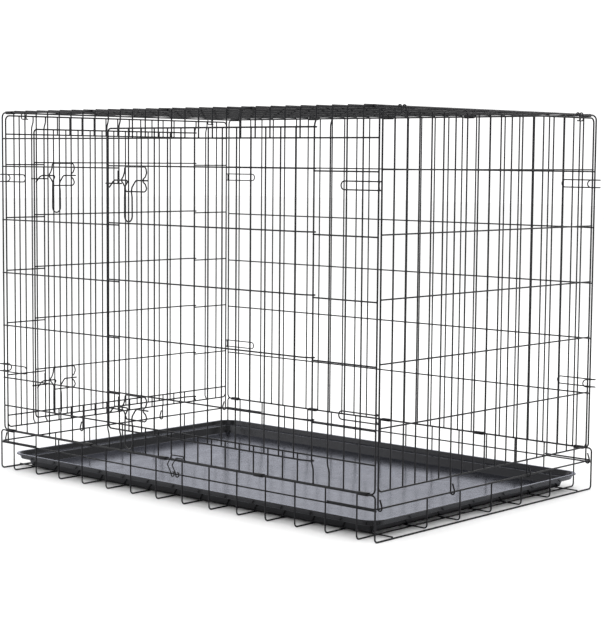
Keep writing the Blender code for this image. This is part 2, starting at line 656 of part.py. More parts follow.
def build() -> None:
    """Build every piece of the crate."""
    clear_scene()
    enamel = finish("black_wire", (0.018, 0.018, 0.020), 0.38, 0.0)
    bolt_black = finish("black_latch", (0.014, 0.014, 0.016), 0.32, 0.0)
    clip_black = finish("black_clip", (0.012, 0.012, 0.014), 0.45, 0.0)
    plastic = finish("black_plastic", (0.020, 0.020, 0.022), 0.22, 0.0)
    end_high = RAIL_TOP_Z - END_DROP
    ends = (END_INSET, WIDTH - END_INSET)

    settle(base_basket(), "base_basket", enamel)
    settle(floor_tray(), "floor_tray", plastic)
    settle(top_panel(), "top_panel", enamel)
    settle(plain_panel(REAR, "rear_panel", 0.0, LENGTH, LONG_BAYS, PANEL_FOOT_Z, RAIL_TOP_Z),
           "rear_panel", enamel)
    settle(door_panel(SIDE_DOORWAY, "front_panel", LENGTH, LONG_BAYS, RAIL_TOP_Z), "front_panel", enamel)
    right_panel = plain_panel(RIGHT, "right_end_panel", *ends, END_BAYS, END_FOOT_Z, end_high)
    right_panel = weld("right_end_panel", [right_panel, wires("feet", foot_hooks(RIGHT), EDGE_WIRE_R, 6)])
    settle(right_panel, "right_end_panel", enamel, right(WIDTH / 2, RAIL_OUT, END_RAIL_Z))
    left_panel = door_panel(END_DOORWAY, "left_end_panel", ends[1], END_BAYS, end_high)
    left_panel = weld("left_end_panel", [left_panel, wires("feet", foot_hooks(LEFT), EDGE_WIRE_R, 6)])
    settle(left_panel, "left_end_panel", enamel, left(WIDTH / 2, RAIL_OUT, END_RAIL_Z))

    for doorway, place in ((SIDE_DOORWAY, "side"), (END_DOORWAY, "end")):
        settle(door(doorway, place + "_door"), place + "_door", enamel,
               doorway.side.place(doorway.hinge, 0.0, (doorway.door_low + doorway.door_high) / 2))
        for row, level in ((ROW_BAYS - 2, "upper"), (0, "lower")):
            bolt = doorway.rows[row] - BOLT_DROP
            tag = f"{place}_{level}"
            guide = wires("guide", [doorway.side.path(bracket_path(doorway, bolt))], LATCH_R - 0.0001, 6, True)
            settle(guide, tag + "_bracket", bolt_black)
            rod = wires("rod", [doorway.side.path(bolt_path(doorway, bolt))], LATCH_R, 6)
            settle(rod, tag + "_bolt", bolt_black, doorway.side.place(doorway.free, BOLT_OUT, bolt))
            settle(keeper(doorway, bolt, "keeper"), tag + "_keeper", enamel)

    heights = ((RAIL_TOP_Z - UPPER_HOOK_DROP, "upper"), (PANEL_FOOT_Z + LOWER_HOOK_RISE, "lower"))
    for side, wall in ((FRONT, "front"), (REAR, "rear")):
        for far_end, corner in ((False, "left"), (True, "right")):
            for height, level in heights:
                name = f"{wall}_{corner}_{level}_corner_hook"
                settle(corner_hook(side, far_end, LENGTH, height, name), name, enamel)

    roof_y = WIDTH / 2 - ROOF_INSET / 2
    foot_y = WIDTH / 2 + BASE_OUT / 2
    for sign, wall in ((-1, "front"), (1, "rear")):
        for number, bay in enumerate(CLIP_BAYS_TOP, 1):
            name = f"{wall}_top_clip_{number}"
            sleeve = clip((clip_place(bay), sign * roof_y, RAIL_TOP_Z), ROOF_INSET, name)
            settle(sleeve, name, clip_black)
        for number, bay in enumerate(CLIP_BAYS_FOOT, 1):
            name = f"{wall}_foot_clip_{number}"
            level = (PANEL_FOOT_Z + BASE_TOP_Z) / 2
            sleeve = clip((clip_place(bay), sign * foot_y, level), BASE_OUT, name)
            settle(sleeve, name, clip_black)

    for side, end in ((LEFT, "left"), (RIGHT, "right")):
        for bay, corner in ((1.5, "front"), (END_BAYS - 1.5, "rear")):
            name = f"{end}_{corner}_top_hook"
            along = END_INSET + bay * PITCH_Y
            settle(top_hook(side, along, name), name, bolt_black, side.place(along, 0.0, RAIL_TOP_Z))
    along = SIDE_HOOK_BAY * PITCH_X + SIDE_HOOK_START
    settle(side_hook(along, "side_hook"), "side_hook", bolt_black,
           FRONT.place(along, BASE_OUT - 2 * LAYER, MID_RAIL_Z))


build()
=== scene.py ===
"""Looks of the folding wire dog crate: round welded wire, hooks, latches, pan and studio.

Every piece is drawn in the frame of the solid model: metres, +Z up, origin on the floor under the
middle of the crate, the long side with the door towards -Y and the end with the door towards -X.
"""

import logging
import math
from dataclasses import dataclass, field
from enum import Enum

import bmesh
import bpy
from mathutils import Matrix, Vector


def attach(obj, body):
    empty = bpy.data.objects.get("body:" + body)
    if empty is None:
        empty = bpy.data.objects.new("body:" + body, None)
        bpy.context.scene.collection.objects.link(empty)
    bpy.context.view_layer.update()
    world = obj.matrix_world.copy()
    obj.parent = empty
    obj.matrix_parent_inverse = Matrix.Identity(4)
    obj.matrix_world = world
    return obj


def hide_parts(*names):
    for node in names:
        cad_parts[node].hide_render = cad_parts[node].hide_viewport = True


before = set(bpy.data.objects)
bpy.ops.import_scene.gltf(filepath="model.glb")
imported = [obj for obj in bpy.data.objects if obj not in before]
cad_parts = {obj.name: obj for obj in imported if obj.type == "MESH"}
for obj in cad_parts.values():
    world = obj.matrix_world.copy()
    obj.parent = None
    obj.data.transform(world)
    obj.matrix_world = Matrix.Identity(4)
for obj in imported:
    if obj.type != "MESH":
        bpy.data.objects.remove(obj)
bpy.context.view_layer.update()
LOG = logging.getLogger("crate")

Point = tuple[float, float, float]
Run = list[Point]
Piece = bpy.types.Object

# Sizes that several sub-assemblies share, in metres.
LENGTH = 28 * 0.0381
WIDTH = 0.706
HALF_LENGTH = LENGTH / 2
HALF_WIDTH = WIDTH / 2
RAIL_TOP = 0.786
LONG_BAYS = 28
END_BAYS = 19
ROW_BAYS = 6
PANEL_FOOT = 0.088
END_FOOT = 0.092
END_TOP = RAIL_TOP - 0.006
END_INSET = 0.009
PITCH_X = LENGTH / LONG_BAYS
PITCH_Y = (WIDTH - 2 * END_INSET) / END_BAYS
ROW_STEP = (RAIL_TOP - PANEL_FOOT) / ROW_BAYS
BASE_OUT = 0.0050
RAIL_OUT = 0.0045
BASE_TOP = 0.0875
END_RAIL_Z = 0.0625
MID_RAIL_Z = 0.0590
ROOF_INSET = 0.0058

# Places of the slide bolts and corner hooks, and settings for the wire and the finishes.
BOLT_DROP = 0.0289
UPPER_HOOK_DROP = 0.1415
LOWER_HOOK_RISE = 0.1385
ROOT_CLEAR = 0.004
MERGE_SHARE = 0.02
SMOOTH_ANGLE = math.radians(50)
# The coat's IOR is near 1, so it reflects almost nothing itself and only tints the reflections
# beneath it: a painted reflection colour.
COAT_IOR = 1.01
NO_TINT = (1.0, 1.0, 1.0)


class Side(Enum):
    """The four upright sides; each turns (along, out, up) into crate coordinates."""

    FRONT = "front"
    REAR = "rear"
    LEFT = "left"
    RIGHT = "right"

    def place(self, along: float, out: float, up: float) -> Point:
        """Return a point of the side in crate coordinates.

        Args:
            along: distance from the side's left or front corner.
            out: distance outwards from the middle of the panel's border rod.
            up: height above the floor.

        Returns:
            The point in crate coordinates.
        """
        if self is Side.FRONT:
            return (along - HALF_LENGTH, -HALF_WIDTH - out, up)
        if self is Side.REAR:
            return (along - HALF_LENGTH, HALF_WIDTH + out, up)
        if self is Side.LEFT:
            return (-HALF_LENGTH - out, along - HALF_WIDTH, up)
        return (HALF_LENGTH + out, along - HALF_WIDTH, up)

    def step(self, distance: float) -> Point:
        """Return the shift that moves a piece a distance along the side."""
        if self in (Side.FRONT, Side.REAR):
            return (distance, 0.0, 0.0)
        return (0.0, distance, 0.0)

    def run(self, points: Run) -> Run:
        """Return a run of points in crate coordinates."""
        return [self.place(*point) for point in points]


def pick(*pieces: Piece) -> None:
    """Select only these pieces and make the first one active."""
    bpy.ops.object.select_all(action="DESELECT")
    for piece in pieces:
        piece.select_set(True)
    bpy.context.view_layer.objects.active = pieces[0]


def arc(centre: tuple[float, float], radius: float, start: float, end: float,
        steps: int) -> list[tuple[float, float]]:
    """Return points of an arc in a plane.

    Args:
        centre: middle of the arc.
        radius: its radius.
        start: first angle in degrees.
        end: last angle in degrees.
        steps: number of chords.

    Returns:
        The points as pairs, both ends included.
    """
    turns = [math.radians(start + (end - start) * step / steps) for step in range(steps + 1)]
    return [(centre[0] + radius * math.cos(turn), centre[1] + radius * math.sin(turn))
            for turn in turns]


def repeat(piece: Piece, count: int, shift: Point) -> Piece:
    """Copy a piece's mesh along a row with an array, and apply it.

    Args:
        piece: the piece to repeat.
        count: how many there are in all.
        shift: distance from one to the next.

    Returns:
        The same piece, now holding the whole row.
    """
    pick(piece)
    row = piece.modifiers.new("row", "ARRAY")
    row.count = count
    row.use_relative_offset = False
    row.use_constant_offset = True
    row.constant_offset_displace = shift
    bpy.ops.object.modifier_apply(modifier=row.name)
    return piece


def join(name: str, parts: list[Piece]) -> Piece:
    """Join parts into one piece with its mesh in crate coordinates.

    Args:
        name: the piece's name.
        parts: the parts, which are used up.

    Returns:
        The joined piece.
    """
    pick(*parts)
    if len(parts) > 1:
        bpy.ops.object.join()
    piece = bpy.context.view_layer.objects.active
    bpy.ops.object.transform_apply(location=True, rotation=True, scale=True)
    piece.name = name
    piece.data.name = name
    return piece


@dataclass(frozen=True)
class WireStock:
    """Round wire of one gauge, cut and bent into runs."""

    radius: float
    facets: int = 10
    bend: float = 0.0
    bend_steps: int = 4

    def lay(self, start: Point) -> None:
        """Put one loose vertex at the start of a run."""
        bpy.ops.mesh.primitive_plane_add(size=self.radius, location=start)
        bpy.ops.mesh.merge(type="CENTER")

    def pull(self, run: Run) -> None:
        """Pull the start vertex out into the edges of a run."""
        self.lay(run[0])
        for here, there in zip(run, run[1:]):
            leg = Vector(there) - Vector(here)
            bpy.ops.mesh.extrude_vertices_move(TRANSFORM_OT_translate={"value": leg})

    def draw(self, name: str, runs: list[Run], closed: bool = False) -> Piece:
        """Draw runs of wire and give them their round section.

        Args:
            name: name of the part.
            runs: the centre lines, corner by corner.
            closed: whether each run comes back to its start.

        Returns:
            A mesh part with one capped or closed wire for each run.
        """
        bpy.ops.object.select_all(action="DESELECT")
        bpy.ops.mesh.primitive_plane_add(size=self.radius)
        piece = bpy.context.active_object
        bpy.ops.object.mode_set(mode="EDIT")
        bpy.ops.mesh.delete(type="VERT")
        for run in runs:
            self.pull(run)
            if closed:
                self.shut()
        if self.bend:
            self.round_corners()
        bpy.ops.object.mode_set(mode="OBJECT")
        bpy.ops.object.convert(target="CURVE")
        piece = bpy.context.active_object
        piece.data.bevel_depth = self.radius
        piece.data.bevel_resolution = self.facets // 2 - 2
        piece.data.use_fill_caps = not closed
        bpy.ops.object.convert(target="MESH")
        piece = bpy.context.active_object
        self.tidy()
        piece.name = name
        return piece

    def shut(self) -> None:
        """Close the run just pulled by an edge between its two free ends."""
        mesh = bmesh.from_edit_mesh(bpy.context.active_object.data)
        for vertex in mesh.verts:
            vertex.select_set(len(vertex.link_edges) == 1)
        mesh.select_flush_mode()
        bpy.ops.mesh.edge_face_add()

    def round_corners(self) -> None:
        """Give every corner between two legs the stock's bend radius."""
        mesh = bmesh.from_edit_mesh(bpy.context.active_object.data)
        for vertex in mesh.verts:
            vertex.select_set(len(vertex.link_edges) == 2)
        mesh.select_flush_mode()
        bpy.ops.mesh.bevel(offset=self.bend, offset_type="OFFSET", segments=self.bend_steps,
                           affect="VERTICES")

    def tidy(self) -> None:
        """Close the caps onto the wire and point every face outwards."""
        bpy.ops.object.mode_set(mode="EDIT")
        bpy.ops.mesh.select_all(action="SELECT")
        bpy.ops.mesh.remove_doubles(threshold=self.radius * MERGE_SHARE)
        bpy.ops.mesh.normals_make_consistent(inside=False)
        bpy.ops.object.mode_set(mode="OBJECT")
        bpy.ops.object.shade_smooth_by_angle(angle=SMOOTH_ANGLE)


ROD = WireStock(radius=0.0017, facets=12)
BENT_ROD = WireStock(radius=0.0017, facets=12, bend=0.010)
RAIL_ROD = WireStock(radius=0.0017, facets=12, bend=0.007)
INFILL = WireStock(radius=0.0015)
BENT_INFILL = WireStock(radius=0.0015, bend=0.007)
EDGE_WIRE = WireStock(radius=0.0016)
JOGGED_WIRE = WireStock(radius=0.0016, bend=0.004, bend_steps=3)
JOGGED_INFILL = WireStock(radius=0.0015, bend=0.004, bend_steps=3)
DOOR_ROD = WireStock(radius=0.0017, facets=12)
LATCH_WIRE = WireStock(radius=0.0016, facets=12, bend=0.0025, bend_steps=3)
LOOP_WIRE = WireStock(radius=0.0015, facets=12, bend=0.0022, bend_steps=3)
HOOK_WIRE = WireStock(radius=0.0013, facets=10)
LAYER = 0.0014


@dataclass(frozen=True)
class WeldBead:
    """The flattened nugget that a spot weld leaves between two crossing wires."""

    width: float = 0.0033
    depth: float = 0.0024

    def grid(self, side: Side, first: tuple[float, float], counts: tuple[int, int],
             pitches: tuple[float, float]) -> Piece:
        """Set beads at every crossing of a grid.

        Args:
            side: the wall that the grid is on.
            first: along and up of the first crossing.
            counts: beads along and up.
            pitches: distances along and up.

        Returns:
            A part with all the beads.
        """
        place = side.place(first[0], 0.0, first[1])
        bpy.ops.object.select_all(action="DESELECT")
        bpy.ops.mesh.primitive_ico_sphere_add(subdivisions=1, radius=1.0, location=place)
        bead = bpy.context.active_object
        thin = (self.width / 2, self.depth / 2, self.width / 2)
        if side in (Side.LEFT, Side.RIGHT):
            thin = (self.depth / 2, self.width / 2, self.width / 2)
        bead.scale = thin
        bpy.ops.object.transform_apply(location=True, rotation=True, scale=True)
        bpy.ops.object.shade_smooth()
        repeat(bead, counts[0], side.step(pitches[0]))
        return repeat(bead, counts[1], (0.0, 0.0, pitches[1]))

    def flat_grid(self, first: Point, counts: tuple[int, int],
                  pitches: tuple[float, float]) -> Piece:
        """Set beads at the crossings of a level grid.

        Args:
            first: the first crossing.
            counts: beads along X and Y.
            pitches: distances along X and Y.

        Returns:
            A part with all the beads.
        """
        bpy.ops.object.select_all(action="DESELECT")
        bpy.ops.mesh.primitive_ico_sphere_add(subdivisions=1, radius=1.0, location=first)
        bead = bpy.context.active_object
        bead.scale = (self.width / 2, self.width / 2, self.depth / 2)
        bpy.ops.object.transform_apply(location=True, rotation=True, scale=True)
        bpy.ops.object.shade_smooth()
        repeat(bead, counts[0], (pitches[0], 0.0, 0.0))
        return repeat(bead, counts[1], (0.0, pitches[1], 0.0))


BEAD = WeldBead()


@dataclass(frozen=True)
class Finish:
    """A finish with fine grain: a colour that drifts a little, uneven gloss and small relief, and
    where given a painted tint on its reflections.
    """

    name: str
    colour: Point
    drift: Point
    gloss: tuple[float, float]
    grain: float
    relief: float
    specular: float = 0.5
    facing_tint: Point = NO_TINT
    painted_reflection_tint: Point = NO_TINT

    def shader(self, material: bpy.types.Material) -> bpy.types.Node:
        """Return the material's own shader with its constant values set."""
        shader = material.node_tree.nodes["Principled BSDF"]
        shader.inputs["Specular IOR Level"].default_value = self.specular
        shader.inputs["Specular Tint"].default_value = (*self.facing_tint, 1.0)
        # The coat is laid on only to carry the painted reflection tint, which colours the
        # reflections under it.
        shader.inputs["Coat Weight"].default_value = 0.0 if self.painted_reflection_tint == NO_TINT else 1.0
        shader.inputs["Coat IOR"].default_value = COAT_IOR
        shader.inputs["Coat Tint"].default_value = (*self.painted_reflection_tint, 1.0)
        return shader

    def material(self) -> bpy.types.Material:
        """Build the material.

        Returns:
            A node material that reads object coordinates.
        """
        material = bpy.data.materials.new(self.name)
        material.use_nodes = True
        nodes, links = material.node_tree.nodes, material.node_tree.links
        shader = self.shader(material)
        place = nodes.new("ShaderNodeTexCoord")
        noise = nodes.new("ShaderNodeTexNoise")
        noise.inputs["Scale"].default_value = self.grain
        noise.inputs["Detail"].default_value = 3.0
        links.new(place.outputs["Object"], noise.inputs["Vector"])
        tone = nodes.new("ShaderNodeMix")
        tone.data_type = "RGBA"
        tone.inputs["A"].default_value = (*self.colour, 1.0)
        tone.inputs["B"].default_value = (*self.drift, 1.0)
        links.new(noise.outputs["Fac"], tone.inputs["Factor"])
        links.new(tone.outputs["Result"], shader.inputs["Base Color"])
        gloss = nodes.new("ShaderNodeMapRange")
        gloss.inputs["From Min"].default_value = 0.3
        gloss.inputs["From Max"].default_value = 0.7
        gloss.inputs["To Min"].default_value = self.gloss[0]
        gloss.inputs["To Max"].default_value = self.gloss[1]
        links.new(noise.outputs["Fac"], gloss.inputs["Value"])
        links.new(gloss.outputs["Result"], shader.inputs["Roughness"])
        bump = nodes.new("ShaderNodeBump")
        bump.inputs["Strength"].default_value = self.relief
        bump.inputs["Distance"].default_value = 0.0002
        links.new(noise.outputs["Fac"], bump.inputs["Height"])
        links.new(bump.outputs["Normal"], shader.inputs["Normal"])
        return material


WIRE_BLACK = Finish("wire_enamel", colour=(0.005, 0.005, 0.006), drift=(0.011, 0.011, 0.013),
                    gloss=(0.30, 0.42), grain=420.0, relief=0.25, specular=0.14)
LATCH_BLACK = Finish("latch_enamel", colour=(0.005, 0.005, 0.006), drift=(0.010, 0.010, 0.012),
                     gloss=(0.24, 0.34), grain=500.0, relief=0.2, specular=0.22)
CLIP_BLACK = Finish("clip_enamel", colour=(0.004, 0.004, 0.005), drift=(0.009, 0.009, 0.010),
                    gloss=(0.36, 0.50), grain=600.0, relief=0.3, specular=0.12)
# The pan's coat tint paints a lavender cast into its reflections of the white surroundings: a
# painted reflection colour, not the plastic's own.
PAN_BLACK = Finish("pan_plastic", colour=(0.005, 0.005, 0.005), drift=(0.009, 0.009, 0.009),
                   gloss=(0.15, 0.22), grain=60.0, relief=0.08, specular=1.0,
                   facing_tint=(0.12, 0.12, 0.13), painted_reflection_tint=(0.966, 0.972, 1.0))


@dataclass
class Shop:
    """Dresses finished pieces, hangs them on their bodies and keeps one material for each slot."""

    materials: dict[str, bpy.types.Material] = field(default_factory=dict)

    def stock(self) -> None:
        """Make the material of every slot."""
        self.materials = {
            "black_wire": WIRE_BLACK.material(),
            "black_latch": LATCH_BLACK.material(),
            "black_clip": CLIP_BLACK.material(),
            "black_plastic": PAN_BLACK.material(),
        }

    def hang(self, piece: Piece, body: str, slot: str, *nodes: str) -> Piece:
        """Dress a piece and put it in the place of its solids.

        Args:
            piece: the finished piece.
            body: the body it moves with.
            slot: the record's material slot.
            nodes: the solids that it stands for.

        Returns:
            The same piece.
        """
        piece.data.materials.clear()
        piece.data.materials.append(self.materials[slot])
        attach(piece, body)
        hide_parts(*nodes)
        LOG.info("%s rides on %s: %d faces", piece.name, body, len(piece.data.polygons))
        return piece


@dataclass(frozen=True)
class Doorway:
    """An opening in a panel, with the sizes of the door that covers it."""

    side: Side
    start: float
    pitch: float
    bays: int
    foot: float
    top: float
    edge_bay: int
    hinge_bay: int
    sill: float
    head: float
    door_low: float
    door_high: float
    jog: float = 0.0015
    jog_root: float = 0.0030
    lift: float = 0.0045
    lap: float = 0.0125
    first_upright: float = 0.040

    @property
    def end(self) -> float:
        """Place of the far border rod."""
        return self.start + self.bays * self.pitch

    @property
    def edge(self) -> float:
        """Place of the upright on the free side of the opening."""
        return self.start + self.edge_bay * self.pitch - self.jog

    @property
    def hinge(self) -> float:
        """Place of the upright that the door hangs on."""
        return self.start + self.hinge_bay * self.pitch - self.jog

    @property
    def free(self) -> float:
        """Place of the door's free edge rod."""
        return self.start + (self.edge_bay - 1) * self.pitch + self.lap

    @property
    def rows(self) -> list[float]:
        """Heights of the panel's long wires."""
        return [self.foot + ROW_STEP * row for row in range(1, ROW_BAYS)]

    def bolt_height(self, row: int) -> float:
        """Return the height of the bolt that hangs under one of the door's long wires."""
        return self.rows[row] + self.lift - BOLT_DROP


SIDE_DOORWAY = Doorway(Side.FRONT, 0.0, PITCH_X, LONG_BAYS, PANEL_FOOT, RAIL_TOP,
                       edge_bay=10, hinge_bay=24,
                       sill=PANEL_FOOT + 0.054, head=RAIL_TOP - 0.056,
                       door_low=PANEL_FOOT + 0.044, door_high=RAIL_TOP - 0.036)
END_DOORWAY = Doorway(Side.LEFT, END_INSET, PITCH_Y, END_BAYS, END_FOOT, END_TOP,
                      edge_bay=3, hinge_bay=16,
                      sill=END_FOOT + 0.026, head=RAIL_TOP - 0.046,
                      door_low=END_FOOT + 0.011, door_high=RAIL_TOP - 0.034)


@dataclass
class Panel:
    """A welded wire wall: border rod, uprights inside and long wires outside."""

    side: Side
    start: float
    bays: int
    pitch: float
    foot: float
    top: float

    def border(self) -> Piece:
        """Draw the closed border rod with rounded corners."""
        end = self.start + self.bays * self.pitch
        outline = [(self.start, 0.0, self.foot), (end, 0.0, self.foot), (end, 0.0, self.top),
                   (self.start, 0.0, self.top)]
        return BENT_ROD.draw("border", [self.side.run(outline)], closed=True)

    def uprights(self, first: int, last: int, low: float, high: float) -> Piece:
        """Draw straight uprights over a span of bays.

        Args:
            first: number of the first upright.
            last: number of the last upright.
            low: height of their feet.
            high: height of their heads.

        Returns:
            A part with the whole row.
        """
        along = self.start + first * self.pitch
        ends = [(along, -LAYER, low), (along, -LAYER, high)]
        wire = INFILL.draw("upright", [self.side.run(ends)])
        return repeat(wire, last - first + 1, self.side.step(self.pitch))

    def rows(self, left: float, right: float) -> Piece:
        """Draw the long wires between two places."""
        up = self.foot + ROW_STEP
        wire = INFILL.draw("row", [self.side.run([(left, LAYER, up), (right, LAYER, up)])])
        return repeat(wire, ROW_BAYS - 1, (0.0, 0.0, ROW_STEP))

    def beads(self, first: int, last: int) -> Piece:
        """Set weld beads where a span of uprights crosses the long wires."""
        along = self.start + first * self.pitch
        return BEAD.grid(self.side, (along, self.foot + ROW_STEP), (last - first + 1, ROW_BAYS - 1),
                         (self.pitch, ROW_STEP))

    def plain(self, name: str, extra: list[Piece]) -> Piece:
        """Build a wall without a doorway.

        Args:
            name: the piece's name.
            extra: further parts to weld on.

        Returns:
            The finished piece.
        """
        end = self.start + self.bays * self.pitch
        parts = [self.border(), self.uprights(1, self.bays - 1, self.foot, self.top),
                 self.rows(self.start, end), self.beads(1, self.bays - 1)]
        return join(name, parts + extra)


@dataclass
class DoorPanel(Panel):
    """A welded wire wall with a doorway."""

    doorway: Doorway = SIDE_DOORWAY
    jog_rise: float = 0.012
    jog_clear: float = 0.0035

    def jogged(self, bay: int, out: float) -> Run:
        """Return an upright that steps aside over the height of the door.

        Args:
            bay: number of the upright.
            out: its distance out of the panel.

        Returns:
            The run of its centre line.
        """
        door = self.doorway
        along = self.start + bay * self.pitch
        upper = door.door_high + self.jog_clear
        lower = door.door_low - self.jog_clear
        lower_end = max(lower - self.jog_rise, self.foot + ROOT_CLEAR)
        root, aside = along + door.jog_root, along - door.jog
        return self.side.run([(root, out, self.top), (root, out, upper + self.jog_rise),
                              (aside, out, upper), (aside, out, lower),
                              (root, out, lower_end), (root, out, self.foot)])

    def posts(self) -> list[Piece]:
        """Draw the two uprights that edge the doorway and their jogged neighbours."""
        door = self.doorway
        posts = [self.jogged(door.edge_bay, 0.0), self.jogged(door.hinge_bay, 0.0)]
        edges = JOGGED_WIRE.draw("posts", posts)
        near = [self.jogged(door.edge_bay - 1, -LAYER), self.jogged(door.hinge_bay + 1, -LAYER)]
        return [edges, JOGGED_INFILL.draw("neighbours", near)]

    def with_door(self, name: str, extra: list[Piece]) -> Piece:
        """Build the wall round its doorway.

        Args:
            name: the piece's name.
            extra: further parts to weld on.

        Returns:
            The finished piece.
        """
        door = self.doorway
        first, last = door.edge_bay, door.hinge_bay
        cross = [self.side.run([(self.start, 0.0, up), (door.end, 0.0, up)])
                 for up in (door.sill, door.head)]
        parts = [self.border(), *self.posts(), EDGE_WIRE.draw("cross", cross),
                 self.uprights(1, first - 2, self.foot, self.top),
                 self.uprights(last + 2, self.bays - 1, self.foot, self.top),
                 self.uprights(first + 1, last - 1, self.foot, door.sill),
                 self.uprights(first + 1, last - 1, door.head, self.top),
                 self.rows(self.start, door.edge), self.rows(door.hinge, door.end),
                 self.beads(1, first - 2), self.beads(last + 2, self.bays - 1)]
        return join(name, parts + extra)


@dataclass
class FootHooks:
    """The J hooks that carry an end panel on the end rail of the basket."""

    side: Side
    bays: tuple[int, ...] = (0, 6, 13, END_BAYS)
    tip: float = 0.0165
    tip_out: float = 0.0045
    straight: float = 0.0040
    corner_lift: float = 0.014

    def draw(self) -> Piece:
        """Draw all four hooks."""
        runs = []
        for bay in self.bays:
            along = END_INSET + bay * PITCH_Y
            root = END_FOOT + self.corner_lift if bay in (0, END_BAYS) else END_FOOT
            curl = [(along, out, up)
                    for out, up in arc((RAIL_OUT, END_RAIL_Z), RAIL_OUT, 180, 360, 10)]
            runs.append(self.side.run([(along, 0.0, root), *curl,
                                       (along, 2 * RAIL_OUT, END_RAIL_Z + self.straight),
                                       (along, self.tip_out, END_RAIL_Z + self.tip)]))
        return EDGE_WIRE.draw("feet", runs)


@dataclass
class SwingDoor:
    """A door of one bent border rod, long wires and uprights, with eyes round the hinge upright."""

    doorway: Doorway
    out: float = 0.0077
    corner: float = 0.008
    lead: float = 0.018
    eye_slack: float = 0.0004
    free_bays: float = 1.4

    def eye(self, out: float, up: float, radius: float) -> Run:
        """Return the end of a wire that curls round the hinge upright.

        Args:
            out: how far out the wire runs.
            up: its height.
            radius: its radius.

        Returns:
            The run from the door to the tip, in the side's own axes.
        """
        reach = EDGE_WIRE.radius + self.eye_slack + radius
        curl = arc((0.0, 0.0), reach, 105, -150, 14)
        return ([(self.doorway.hinge - self.lead, out, up)]
                + [(self.doorway.hinge + x, y, up) for x, y in curl])

    def border(self) -> Piece:
        """Draw the border rod, from the upper eye round the free edge to the lower eye."""
        door, bend = self.doorway, self.corner
        upper = arc((door.free + bend, door.door_high - bend), bend, 90, 180, 6)
        lower = arc((door.free + bend, door.door_low + bend), bend, 180, 270, 6)
        run = self.eye(self.out, door.door_high, DOOR_ROD.radius)[::-1]
        run += [(x, self.out, z) for x, z in upper + lower]
        run += self.eye(self.out, door.door_low, DOOR_ROD.radius)
        return DOOR_ROD.draw("border", [door.side.run(run)])

    def row(self) -> Piece:
        """Draw the five long wires with their eyes."""
        door = self.doorway
        up = door.rows[0] + door.lift
        out = self.out + LAYER
        run = [(door.free, out, up)] + self.eye(out, up, INFILL.radius)
        wire = INFILL.draw("row", [door.side.run(run)])
        return repeat(wire, ROW_BAYS - 1, (0.0, 0.0, ROW_STEP))

    def build(self, name: str) -> Piece:
        """Build the door.

        Args:
            name: the piece's name.

        Returns:
            The finished piece.
        """
        door = self.doorway
        first = door.hinge - door.first_upright
        count = int((first - door.free - self.free_bays * door.pitch) / door.pitch) + 1
        out = self.out - LAYER
        run = door.side.run([(first, out, door.door_low), (first, out, door.door_high)])
        uprights = repeat(INFILL.draw("upright", [run]), count, door.side.step(-door.pitch))
        beads = BEAD.grid(door.side, (first, door.rows[0] + door.lift), (count, ROW_BAYS - 1),
                          (-door.pitch, ROW_STEP))
        shift = Vector(door.side.place(0.0, self.out, 0.0)) - Vector(door.side.place(0.0, 0.0, 0.0))
        beads.data.transform(Matrix.Translation(shift))
        return join(name, [self.border(), self.row(), uprights, beads])


